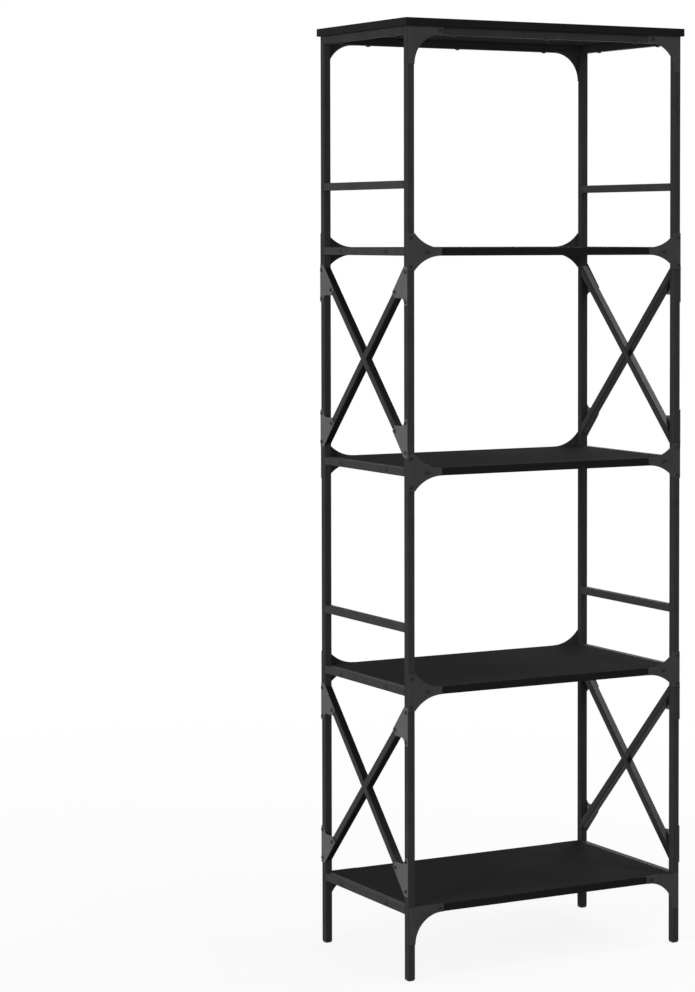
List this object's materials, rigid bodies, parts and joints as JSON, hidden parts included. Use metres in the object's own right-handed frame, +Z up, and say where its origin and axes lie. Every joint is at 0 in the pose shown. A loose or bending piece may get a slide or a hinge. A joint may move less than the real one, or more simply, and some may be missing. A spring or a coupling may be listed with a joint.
{
  "type": "bookcase",
  "caption": "Tall open bookcase: dark wood boards on a square-tube steel frame with curved corner brackets, crossed side braces, plain side bars and foot caps.",
  "frame": {"origin": "on the floor, under the middle of the bookcase", "axes": "+X to the right and +Y to the back, both seen from the front, +Z up"},
  "size_m": [0.62, 0.37, 1.805],
  "materials": {
    "board": "satin black foil",
    "tube": "matt black powder coat",
    "plate": "matt black powder coat",
    "cap": "matt black"
  },
  "bodies": {
    "root": {"brackets_1_back": "plate", "brackets_1_front": "plate", "brackets_2_back": "plate", "brackets_2_front": "plate", "brackets_3_back": "plate", "brackets_3_front": "plate", "brackets_4_back": "plate", "brackets_4_front": "plate", "brackets_5_back": "plate", "brackets_5_front": "plate", "foot_cap_back_left": "cap", "foot_cap_back_right": "cap", "foot_cap_front_left": "cap", "foot_cap_front_right": "cap", "lower_bar_left": "tube", "lower_bar_right": "tube", "lower_cross_left_lower_half": "tube", "lower_cross_left_through": "tube", "lower_cross_left_upper_half": "tube", "lower_cross_right_lower_half": "tube", "lower_cross_right_through": "tube", "lower_cross_right_upper_half": "tube", "lower_gussets_left": "plate", "lower_gussets_right": "plate", "post_back_left": "tube", "post_back_right": "tube", "post_front_left": "tube", "post_front_right": "tube", "shelf_2": "board", "shelf_3": "board", "shelf_4": "board", "shelf_5": "board", "side_rail_2_left": "tube", "side_rail_2_right": "tube", "side_rail_3_left": "tube", "side_rail_3_right": "tube", "side_rail_4_left": "tube", "side_rail_4_right": "tube", "side_rail_5_left": "tube", "side_rail_5_right": "tube", "top_board": "board", "top_rail_back": "tube", "top_rail_front": "tube", "top_rail_left": "tube", "top_rail_right": "tube", "upper_bar_left": "tube", "upper_bar_right": "tube", "upper_cross_left_lower_half": "tube", "upper_cross_left_through": "tube", "upper_cross_left_upper_half": "tube", "upper_cross_right_lower_half": "tube", "upper_cross_right_through": "tube", "upper_cross_right_upper_half": "tube", "upper_gussets_left": "plate", "upper_gussets_right": "plate"}
  },
  "joints": []
}
